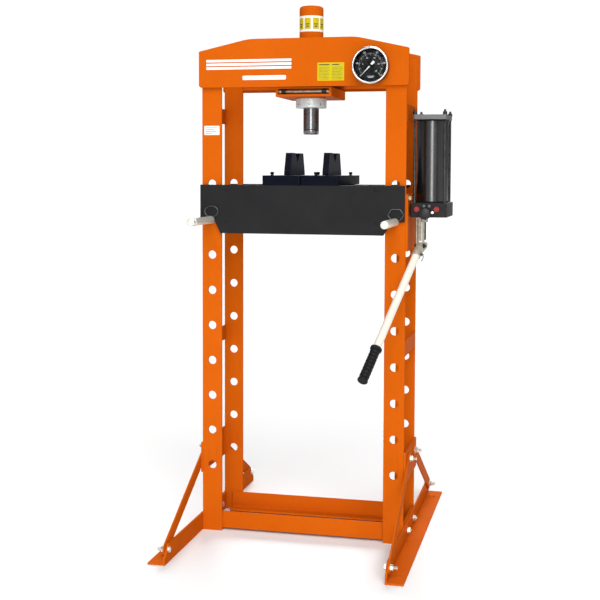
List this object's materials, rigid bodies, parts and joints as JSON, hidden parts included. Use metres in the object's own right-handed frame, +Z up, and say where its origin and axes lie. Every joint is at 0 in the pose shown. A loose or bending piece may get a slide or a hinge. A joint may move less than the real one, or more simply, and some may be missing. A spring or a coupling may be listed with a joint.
{
  "type": "hydraulic shop press",
  "caption": "Floor-standing hydraulic shop press: drilled column frame, pinned bed with V-blocks, sliding cylinder with ram, side hand pump and pressure gauge.",
  "frame": {"origin": "centre of the press's box, on the floor", "axes": "+Z up, front towards -Y, pump on the +X side"},
  "size_m": [0.8648, 1.0346, 1.758],
  "materials": {
    "frame_paint": "semi-gloss powder coat",
    "bed_paint": "satin black paint",
    "tooling_iron": "dark oiled iron",
    "machined_steel": "turned and ground",
    "zinc_plate": "zinc plated",
    "pump_black": "gloss black enamel",
    "pump_grey": "bare casting",
    "handle_white": "gloss white paint",
    "grip_rubber": "moulded ribs",
    "knob_plastic": "moulded",
    "gauge_black": "satin",
    "gauge_chrome": "polished",
    "gauge_glass": "clear",
    "needle_white": "matt white"
  },
  "bodies": {
    "root": {"base_bar_front": "frame_paint", "base_bar_rear": "frame_paint", "batten_middle_left": "frame_paint", "batten_middle_right": "frame_paint", "batten_upper_left": "frame_paint", "batten_upper_right": "frame_paint", "brace_front_left": "frame_paint", "brace_front_right": "frame_paint", "brace_plate_left": "frame_paint", "brace_plate_right": "frame_paint", "brace_rear_left": "frame_paint", "brace_rear_right": "frame_paint", "foot_left": "frame_paint", "foot_right": "frame_paint", "gauge_bezel": "gauge_chrome", "gauge_case": "gauge_black", "gauge_dial": "gauge_black", "gauge_lens": "gauge_glass", "head_plate_front": "frame_paint", "head_plate_rear": "frame_paint", "head_rail_front": "frame_paint", "head_rail_rear": "frame_paint", "lever_bracket": "pump_grey", "plunger_gland": "pump_grey", "pump_base": "pump_black", "pump_bracket": "frame_paint", "tank_lid": "pump_grey", "tank_tube": "pump_black", "tie_rod_front_left": "machined_steel", "tie_rod_front_right": "machined_steel", "tie_rod_rear_left": "machined_steel", "tie_rod_rear_right": "machined_steel", "upright_front_left": "frame_paint", "upright_front_right": "frame_paint", "upright_rear_left": "frame_paint", "upright_rear_right": "frame_paint"},
    "carriage": {"carriage": "frame_paint", "slide_plate": "frame_paint", "clamp_rod": "machined_steel", "cylinder_barrel": "frame_paint", "cylinder_cover": "frame_paint", "ring_nut": "machined_steel"},
    "ram": {"ram": "machined_steel", "ram_pad": "machined_steel"},
    "bed": {"bed_beam_front": "bed_paint", "bed_beam_rear": "bed_paint", "bed_spacer_left": "bed_paint", "bed_spacer_right": "bed_paint"},
    "press_plate_left": {"press_plate_left": "tooling_iron"},
    "press_plate_right": {"press_plate_right": "tooling_iron"},
    "v_block_left": {"v_block_left": "tooling_iron"},
    "v_block_right": {"v_block_right": "tooling_iron"},
    "pin_left": {"pin_left": "zinc_plate"},
    "pin_right": {"pin_right": "zinc_plate"},
    "pump_lever": {"pump_lever": "zinc_plate", "handle_tube": "handle_white", "handle_grip": "grip_rubber"},
    "plunger": {"plunger": "machined_steel"},
    "release_knob": {"release_knob": "knob_plastic"},
    "gauge_needle": {"gauge_needle": "needle_white"}
  },
  "joints": [
    {"name": "carriage_slide", "type": "slide", "parent": "root", "child": "carriage", "axis": [1, 0, 0], "range_m": [-0.15, 0.15]},
    {"name": "ram_stroke", "type": "slide", "parent": "carriage", "child": "ram", "axis": [0, 0, 1], "range_m": [-0.12, 0.065]},
    {"name": "bed_lift", "type": "slide", "parent": "root", "child": "bed", "axis": [0, 0, 1], "range_m": [0, 0.118]},
    {"name": "press_plate_left_slide", "type": "slide", "parent": "bed", "child": "press_plate_left", "axis": [-1, 0, 0], "range_m": [0, 0.1]},
    {"name": "press_plate_right_slide", "type": "slide", "parent": "bed", "child": "press_plate_right", "axis": [1, 0, 0], "range_m": [0, 0.1]},
    {"name": "v_block_left_slide", "type": "slide", "parent": "press_plate_left", "child": "v_block_left", "axis": [-1, 0, 0], "range_m": [-0.02, 0.03]},
    {"name": "v_block_right_slide", "type": "slide", "parent": "press_plate_right", "child": "v_block_right", "axis": [1, 0, 0], "range_m": [-0.02, 0.03]},
    {"name": "pin_left_pull", "type": "slide", "parent": "root", "child": "pin_left", "axis": [0, -1, 0], "range_m": [0, 0.285]},
    {"name": "pin_right_pull", "type": "slide", "parent": "root", "child": "pin_right", "axis": [0, -1, 0], "range_m": [0, 0.285]},
    {"name": "lever_swing", "type": "hinge", "parent": "root", "child": "pump_lever", "pos_m": [0.34758, -0.08561, 0.972], "axis": [0.9677, -0.2521, 0], "range_deg": [-40, 0]},
    {"name": "plunger_stroke", "type": "slide", "parent": "root", "child": "plunger", "axis": [0, 0, 1], "range_m": [-0.025, 0.001]},
    {"name": "release_turn", "type": "hinge", "parent": "root", "child": "release_knob", "pos_m": [0.3654, -0.10104, 1.077], "axis": [0, -1, 0], "range_deg": [0, 270]},
    {"name": "needle_turn", "type": "hinge", "parent": "root", "child": "gauge_needle", "pos_m": [0.1964, -0.17374, 1.544], "axis": [0, 1, 0], "range_deg": [0, 265], "stiffness_Nm_per_rad": 0.002}
  ],
  "couplings": [
    {"joint": "plunger_stroke", "follows": "lever_swing", "m_per_rad": 0.035}
  ]
}
